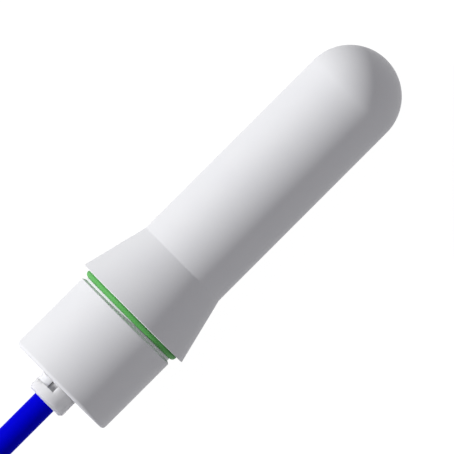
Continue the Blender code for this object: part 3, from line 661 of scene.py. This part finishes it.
housing = turned("probe_housing_shell", outside + rear[1:] + inside[1:], white_plastic)
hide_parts("probe_housing")
print(size_of(housing))

# %% [markdown]
# The O-ring is a plain rubber ring in the step behind the flare. It is moulded in two halves, which leaves a
# fine line round its outside. A torus primitive has no such line, so its round section is an outline too. It
# shows as far out as in the photograph, and behind it only just touches the cap.

# %% O-ring
RING_SECTION_R = 1.06 * MM
RING_R = 14.18 * MM
RING_PLACE = -0.28 * MM
FLASH = 0.05 * MM
FLASH_HALF_ANGLE = 2.5
RING_SECTION_STEPS = 46
section = arc(RING_R, RING_PLACE, RING_SECTION_R, FLASH_HALF_ANGLE, 360.0 - FLASH_HALF_ANGLE,
              RING_SECTION_STEPS)
section += [(RING_R + RING_SECTION_R + FLASH, RING_PLACE), section[0]]
o_ring = turned("flare_o_ring", section, green_rubber)
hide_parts("flange_o_ring")
print(size_of(o_ring))

# %% [markdown]
# The rear cap is a turned cup. In front it has a short narrower land, on which the O-ring bears, and a steep
# chamfer from there out to its full width. Its rear edge is rounded, and a hole in its rear wall takes the
# gland. The outline starts inside the hole, goes forward through the bore, back along the outside, and then
# closes on itself.

# %% Rear cap
CAP_LAND_R = 14.2 * MM
CAP_LAND_FRONT = -1.36 * MM
CAP_LAND_REAR = -2.05 * MM
CAP_CHAMFER_END = -2.52 * MM
CAP_CHAMFER_FILLET = 0.3 * MM
CAP_REAR_FILLET = 0.98 * MM
CAP_REAR_TRIM = 0.22 * MM
CAP_REAR_WALL = 4.0 * MM
CAP_SHOULDER = 1.5 * MM
CAP_SOCKET_DEPTH = 10.45 * MM
CAP_FILLET_STEPS = 6
cap_bore = SOCKET_R - CAP_SHOULDER
cap_socket_end = cap_front - CAP_SOCKET_DEPTH
cap_outline = filleted([
    (neck_r + FIT, cap_rear + CAP_REAR_WALL / 2, 0.0),
    (neck_r + FIT, cap_rear + CAP_REAR_WALL, SMALL_FILLET),
    (cap_bore, cap_rear + CAP_REAR_WALL, SMALL_FILLET),
    (cap_bore, cap_socket_end, SMALL_FILLET),
    (SOCKET_R, cap_socket_end, SMALL_FILLET),
    (SOCKET_R, CAP_LAND_FRONT, SMALL_FILLET),
    (CAP_LAND_R, CAP_LAND_FRONT, SMALL_FILLET),
    (CAP_LAND_R, CAP_LAND_REAR, 0.0),
    (cap_r, CAP_CHAMFER_END, CAP_CHAMFER_FILLET),
    (cap_r, cap_rear + CAP_REAR_TRIM, CAP_REAR_FILLET),
    (neck_r + FIT, cap_rear + CAP_REAR_TRIM, SMALL_FILLET),
    (neck_r + FIT, cap_rear + CAP_REAR_WALL / 2, 0.0),
], steps=CAP_FILLET_STEPS)
cap = turned("rear_cap_shell", cap_outline, white_plastic)
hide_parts("rear_cap")
print(size_of(cap))

# %% [markdown]
# The gland's collar is a short ring behind the cap, with a neck that goes through the cap's rear wall. It has
# a window on two sides, in which the latch tongues of the clamp sleeve show. First come its sizes and its
# outline: the neck, the outside and the bore, with a thin wall left between the windows and the cap.

# %% The collar's outline
COLLAR_CHAMFER = 0.7 * MM
COLLAR_WALL = 0.95 * MM
COLLAR_FRONT_WALL = 0.22 * MM
COLLAR_BORE = collar_r - COLLAR_WALL
CABLE_FIT = 0.2 * MM
WINDOW_LENGTH = 1.95 * MM
WINDOW_START = math.radians(85.0)
WINDOW_SWEEP = math.radians(92.5)
WINDOW_STEPS = 24
COLLAR_FACE_FIT = 0.04 * MM
sheath_bore = CABLE_R + CABLE_FIT
collar_front = cap_rear + CAP_REAR_TRIM - COLLAR_FACE_FIT
window_front = collar_front - COLLAR_FRONT_WALL
window_rear = window_front - WINDOW_LENGTH
collar_outline = filleted([
    (neck_r, neck_end, 0.0),
    (neck_r, collar_front, 0.0),
    (collar_r, collar_front, SMALL_FILLET),
    (collar_r, collar_rear + COLLAR_CHAMFER, 2 * SMALL_FILLET),
    (collar_r - COLLAR_CHAMFER, collar_rear, SMALL_FILLET),
    (COLLAR_BORE, collar_rear, SMALL_FILLET / 2),
    (COLLAR_BORE, window_front, 0.0),
    (sheath_bore, window_front, 0.0),
    (sheath_bore, neck_end, 0.0),
    (neck_r, neck_end, 0.0),
])
print("collar", round((collar_front - collar_rear) / MM, 2), "mm long")

# %% [markdown]
# The windows are cut out with a Boolean, because their edges cross the round wall. Each cutter is a small
# block of a ring: an upright rectangle that is spun through a part of a turn.

# %% Helpers for cuts
def ring_block(name, inner, outer, low, high, start, sweep, steps):
    """A block of a ring, between two radii, two places along the axis and two angles."""
    bpy.ops.object.select_all(action="DESELECT")
    bpy.ops.mesh.primitive_plane_add(size=1.0, rotation=(quarter, 0.0, 0.0))
    block = bpy.context.object
    block.name = name
    block.scale = (outer - inner, high - low, 1.0)
    block.location = ((inner + outer) / 2, 0.0, (low + high) / 2)
    bpy.ops.object.transform_apply(location=True, rotation=True, scale=True)
    bpy.ops.object.mode_set(mode="EDIT")
    bpy.ops.mesh.select_all(action="SELECT")
    bpy.ops.mesh.spin(steps=steps, angle=-sweep, center=(0.0, 0.0, 0.0), axis=(0.0, 0.0, 1.0))
    bpy.ops.mesh.select_all(action="SELECT")
    bpy.ops.mesh.remove_doubles(threshold=MERGE)
    bpy.ops.mesh.normals_make_consistent(inside=False)
    bpy.ops.object.mode_set(mode="OBJECT")
    block.rotation_euler = (0.0, 0.0, start)
    bpy.ops.object.transform_apply(location=True, rotation=True, scale=True)
    return block


def pick(piece):
    """Selects one piece alone and makes it the active one."""
    bpy.ops.object.select_all(action="DESELECT")
    piece.select_set(True)
    bpy.context.view_layer.objects.active = piece


def joined(piece, other, operation):
    """Cuts or joins a piece with another by a Boolean, and removes the other."""
    pick(piece)
    boolean = piece.modifiers.new("boolean", "BOOLEAN")
    boolean.operation = operation
    boolean.object = other
    bpy.ops.object.modifier_apply(modifier=boolean.name)
    bpy.data.objects.remove(other)


print("a window turns through", round(math.degrees(WINDOW_SWEEP), 1), "degrees")

# %% [markdown]
# The collar is spun like the other pieces, cut twice, half a turn apart, and only then laid down in its place.
# Its cut edges stay sharp, as moulded windows are.

# %% Gland collar
SMALL_ROUND_STEPS = 96
collar = spun("gland_collar_body", collar_outline, SMALL_ROUND_STEPS)
bpy.ops.object.mode_set(mode="OBJECT")
for turn in (0.0, math.pi):
    cutter = ring_block("window", COLLAR_BORE - FIT, collar_r + FIT, window_rear, window_front - NEAR,
                        WINDOW_START + turn, WINDOW_SWEEP, WINDOW_STEPS)
    joined(collar, cutter, "DIFFERENCE")
laid_down(collar, milky_plastic)
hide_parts("gland_collar")
print(size_of(collar))

# %% [markdown]
# The sleeve that clamps the cable sits inside the collar. It is a thin tube with a latch tongue on two sides,
# which snaps into the window. A tongue is a rounded ridge that falls away to a deep pocket, so it is not a
# part of a ring: its cross-section is drawn corner by corner, filled, and extruded along the axis.

# %% Helpers for the tongue, and the sleeve's outline
TONGUE_R = 2.15 * MM
TONGUE_CENTRE = (3.05 * MM, 1.85 * MM)
TONGUE_FIT = 0.03 * MM
POCKET_R = 3.75 * MM
INSERT_END_GAP = 0.3 * MM
INSERT_FIT = 0.2 * MM
insert_r = COLLAR_BORE - INSERT_FIT
insert_front = window_front - TONGUE_FIT
insert_rear = collar_rear + INSERT_END_GAP
insert_outline = filleted([
    (insert_r, insert_front, 0.0),
    (insert_r, insert_rear, SMALL_FILLET),
    (sheath_bore, insert_rear, SMALL_FILLET),
    (sheath_bore, insert_front, 0.0),
    (insert_r, insert_front, 0.0),
])


def prism(name, corners, low, high, turn):
    """A cross-section of (across, up) corners, filled and extruded along the axis, turned about it."""
    bpy.ops.object.select_all(action="DESELECT")
    bpy.ops.mesh.primitive_plane_add(size=MM)
    piece = bpy.context.object
    piece.name = name
    bpy.ops.object.mode_set(mode="EDIT")
    bpy.ops.mesh.select_mode(type="VERT")
    bpy.ops.mesh.merge(type="CENTER")
    bpy.ops.transform.translate(value=(-corners[0][1], corners[0][0], low))
    for a, b in zip(corners, corners[1:]):
        move = {"value": (a[1] - b[1], b[0] - a[0], 0.0)}
        bpy.ops.mesh.extrude_vertices_move(TRANSFORM_OT_translate=move)
    bpy.ops.mesh.select_all(action="SELECT")
    bpy.ops.mesh.edge_face_add()
    bpy.ops.mesh.extrude_region_move(TRANSFORM_OT_translate={"value": (0.0, 0.0, high - low)})
    bpy.ops.mesh.select_all(action="SELECT")
    bpy.ops.mesh.normals_make_consistent(inside=False)
    bpy.ops.object.mode_set(mode="OBJECT")
    piece.rotation_euler = (0.0, 0.0, turn)
    bpy.ops.object.transform_apply(location=True, rotation=True, scale=True)
    return piece


def on_ring(radius, angle):
    """(across, up) on a circle round the axis, the angle from straight up, in degrees."""
    return radius * math.sin(math.radians(angle)), radius * math.cos(math.radians(angle))


print("clamp sleeve", round((insert_front - insert_rear) / MM, 2), "mm long")

# %% [markdown]
# The tongue's cross-section is an arc for the ridge and a few corners inside the sleeve's wall, which close
# it. On each side a pocket is cut into the sleeve, and the tongue is joined to what is left. The floor of the
# pocket, the faces at just its radius between the ends of the window, then gets the grey finish, which is
# painted shade.

# %% Clamp sleeve
TONGUE_ARC = (-8.0, 114.0)
TONGUE_STEPS = 20
TONGUE_BASE_ANGLES = (36.0, 40.0, 50.0, 60.0, 70.0, 80.0, 88.0)
base_r = (sheath_bore + POCKET_R) / 2
ridge = arc(*TONGUE_CENTRE, TONGUE_R, *TONGUE_ARC, TONGUE_STEPS)
tongue_corners = ridge + [on_ring(base_r, angle) for angle in TONGUE_BASE_ANGLES]
insert = spun("clamp_sleeve", insert_outline, SMALL_ROUND_STEPS)
bpy.ops.object.mode_set(mode="OBJECT")
for turn in (0.0, math.pi):
    pocket = ring_block("pocket", POCKET_R, insert_r + FIT, window_rear + TONGUE_FIT, insert_front + FIT,
                        WINDOW_START + turn, WINDOW_SWEEP, WINDOW_STEPS)
    joined(insert, pocket, "DIFFERENCE")
    tongue = prism("tongue", tongue_corners, window_rear + TONGUE_FIT, window_front - TONGUE_FIT, turn)
    joined(insert, tongue, "UNION")
laid_down(insert, white_plastic)
# Painted shade: the grey finish goes on the pocket floor's faces only
insert.data.materials.append(pocket_painted_shade)
upright = lying.inverted()
for face in insert.data.polygons:
    centre = upright @ face.center
    on_floor = abs(math.hypot(centre.x, centre.y) - POCKET_R) < NEAR
    if on_floor and window_rear < centre.z < window_front:
        face.material_index = 1
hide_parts("clamp_insert")
print(size_of(insert))

# %% [markdown]
# The hank is held by a nylon tie. It is square-cut, so it is made from cube primitives, whose faces and edges
# have to be picked before they are opened or rounded. The test for each pick is a small function.

# %% Helpers for the tie
SHARP_EDGE = math.radians(60.0)


def block(name, size, middle):
    """A cube primitive drawn to size at its place."""
    bpy.ops.object.select_all(action="DESELECT")
    bpy.ops.mesh.primitive_cube_add(size=1.0, location=middle)
    piece = bpy.context.object
    piece.name = piece.data.name = name
    piece.scale = size
    bpy.ops.object.transform_apply(location=True, rotation=True, scale=True)
    return piece


def chosen(piece, kind, test):
    """In edit mode, selects the faces or edges of which the test holds."""
    bpy.ops.mesh.select_all(action="DESELECT")
    bpy.ops.mesh.select_mode(type=kind)
    shape = bmesh.from_edit_mesh(piece.data)
    for element in (shape.faces if kind == "FACE" else shape.edges):
        element.select_set(test(element))
    shape.select_flush_mode()
    bmesh.update_edit_mesh(piece.data)


def faces_along_x(face):
    """Whether a face looks along the hank."""
    return abs(face.normal.x) > max(abs(face.normal.y), abs(face.normal.z))


def runs_along_x(edge):
    """Whether an edge runs along the hank."""
    way = edge.verts[1].co - edge.verts[0].co
    return abs(way.x) > abs(way.y) + abs(way.z)


def break_edges(piece, width, segments):
    """Bevels every sharp edge of the active piece."""
    edges = piece.modifiers.new("edges", "BEVEL")
    edges.width = width
    edges.segments = segments
    edges.limit_method = "ANGLE"
    edges.angle_limit = SHARP_EDGE
    bpy.ops.object.modifier_apply(modifier=edges.name)


print("edges sharper than", round(math.degrees(SHARP_EDGE)), "degrees are broken")

# %% [markdown]
# The strap is a sleeve round the hank's waist. A torus primitive would be round, but four runs side by side
# and three high make an oblong. So a cube is drawn to size, opened at both ends, rounded along its four long
# edges and given a thickness.

# %% The tie's strap
TIE_WIDTH = 3.6 * MM
TIE_THICKNESS = 1.2 * MM
STRAP_ROUND_STEPS = 8
STRAP_EDGE = 0.2 * MM
tie_middle = Vector((hank_middle, 0.0, TURNS * CABLE_R))
inner_half_width = 2 * CABLE_D + FIT
inner_half_height = 1.5 * CABLE_D + FIT
strap_size = (TIE_WIDTH, 2 * (inner_half_width + TIE_THICKNESS), 2 * (inner_half_height + TIE_THICKNESS))
tie = block("tie_strap", strap_size, tie_middle)
bpy.ops.object.mode_set(mode="EDIT")
chosen(tie, "FACE", faces_along_x)
bpy.ops.mesh.delete(type="ONLY_FACE")
chosen(tie, "EDGE", runs_along_x)
bpy.ops.mesh.bevel(offset=2 * TIE_THICKNESS, segments=STRAP_ROUND_STEPS, affect="EDGES")
bpy.ops.object.mode_set(mode="OBJECT")
wall = tie.modifiers.new("wall", "SOLIDIFY")
wall.thickness = TIE_THICKNESS
wall.offset = -1.0
bpy.ops.object.modifier_apply(modifier=wall.name)
break_edges(tie, width=STRAP_EDGE, segments=2)
print(size_of(tie))

# %% [markdown]
# The head is a second block with rounded edges and a slot, and the strap's cut-off end stands out of it. The
# three are joined by Booleans, as they are one piece on the real tie once it is pulled tight.

# %% The tie's head
TIE_HEAD = (5.0 * MM, 6.0 * MM, 4.0 * MM)
TIE_STUB = 3.0 * MM
HEAD_EDGE = 0.5 * MM
SLOT_ROOM = 0.4 * MM
STUB_SINK = 0.2 * MM
head_low = inner_half_height + FIT
head_middle = tie_middle + Vector((0.0, 0.0, (head_low + inner_half_height + TIE_HEAD[2]) / 2))
head = block("tie_head", (TIE_HEAD[0], TIE_HEAD[1], TIE_HEAD[2] - FIT), head_middle)
break_edges(head, width=HEAD_EDGE, segments=3)
slot_cut = block("head_slot", (TIE_WIDTH + SLOT_ROOM, 2 * TIE_THICKNESS, 4 * TIE_THICKNESS),
                 head_middle + Vector((0.0, TIE_THICKNESS / 2, TIE_HEAD[2] / 2)))
joined(head, slot_cut, "DIFFERENCE")
joined(tie, head, "UNION")
stub = block("strap_end", (TIE_WIDTH, TIE_THICKNESS, TIE_HEAD[2] + TIE_STUB),
             head_middle + Vector((0.0, TIE_THICKNESS / 2, TIE_STUB / 2 - STUB_SINK)))
joined(tie, stub, "UNION")
laid_down(tie, natural_plastic, Matrix.Identity(4))
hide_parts("hank_tie")
print(size_of(tie))

# %% [markdown]
# A ferrule is a small tinned tube with a flared mouth, pressed onto the end of each core. It is a turned
# piece of its own, spun upright and then turned into the direction in which its core ends.

# %% Ferrules
FERRULE_R = 0.75 * MM
FERRULE_MOUTH_R = 1.1 * MM
FERRULE_LENGTH = 8.0 * MM
MOUTH_END = FERRULE_LENGTH / 8
FUNNEL_END = FERRULE_LENGTH / 4
FUNNEL_FILLET = 0.4 * MM
MOUTH_FILLET = 0.2 * MM
END_FILLET = 0.1 * MM
LIP_FILLET = 0.05 * MM
FERRULE_STEPS = 32
tin_plate = finish("tin_plate", (0.76, 0.77, 0.78), (0.68, 0.69, 0.70), (0.25, 0.40), metallic=1.0,
                   depth=0.004)
ferrule_outline = filleted([
    (0.0, FERRULE_LENGTH, 0.0),
    (FERRULE_R, FERRULE_LENGTH, END_FILLET),
    (FERRULE_R, FUNNEL_END, FUNNEL_FILLET),
    (FERRULE_MOUTH_R, MOUTH_END, MOUTH_FILLET),
    (FERRULE_MOUTH_R, 0.0, LIP_FILLET),
    (CORE_R, 0.0, LIP_FILLET),
    (CORE_R, MOUTH_END, 0.0),
    (0.0, MOUTH_END, 0.0),
])
lift = Vector((0.0, 0.0, FERRULE_MOUTH_R - CORE_R))
for colour, (end, heading) in core_ends.items():
    aim = heading.to_track_quat("Z", "Y").to_matrix().to_4x4()
    ferrule = spun("crimped_ferrule_" + colour, ferrule_outline, FERRULE_STEPS)
    laid_down(ferrule, tin_plate, Matrix.Translation(end + lift + heading * FIT) @ aim)
    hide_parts("ferrule_" + colour)

# %% [markdown]
# Only now is everything on the cable there: the sheath, the two cores and their ferrules.

print("declared", cable.name)

# %% [markdown]
# The pieces inside keep the shape of their solids. They are seen only when the sensor is taken apart, but a
# finish for each of them costs little and makes the part whole.

# %% Finishes of the inner pieces
copper = finish("copper", (0.85, 0.45, 0.28), (0.72, 0.36, 0.22), (0.25, 0.40), metallic=1.0, depth=0.004)
laminate = finish("board_laminate", (0.02, 0.20, 0.09), (0.015, 0.16, 0.07), (0.35, 0.45), patch=2.0)
chip_resin = finish("chip_resin", (0.035, 0.035, 0.04), (0.02, 0.02, 0.025), (0.45, 0.6), grain=0.1, depth=0.01)
trimmer_plastic = finish("trimmer_plastic", (0.05, 0.20, 0.50), (0.04, 0.17, 0.44), (0.35, 0.45))
capacitor_can = finish("capacitor_can", (0.70, 0.71, 0.73), (0.62, 0.63, 0.65), (0.25, 0.35), metallic=1.0)
gold_plate = finish("gold_plate", (0.86, 0.63, 0.26), (0.78, 0.55, 0.20), (0.25, 0.35), metallic=1.0)
INNER_FINISHES = {
    "connecting_sleeve": natural_plastic,
    "gland_locknut": natural_plastic,
    "electrode_carrier": natural_plastic,
    "front_board_ring": natural_plastic,
    "rear_board_ring": natural_plastic,
    "cable_seal": black_rubber,
    "inner_core_brown": brown_insulation,
    "inner_core_blue": blue_insulation,
    "sensing_electrode": copper,
    "guard_electrode": copper,
    "electrode_lead": tin_plate,
    "guard_lead": tin_plate,
    "shield_can": tin_plate,
    "circuit_board": laminate,
    "oscillator_chip": chip_resin,
    "output_chip": chip_resin,
    "trimmer": trimmer_plastic,
    "capacitor": capacitor_can,
    "terminal_brown": gold_plate,
    "terminal_blue": gold_plate,
}
for name, material in INNER_FINISHES.items():
    nodes[name].data.materials.clear()
    nodes[name].data.materials.append(material)
print(len(INNER_FINISHES), "inner pieces finished")
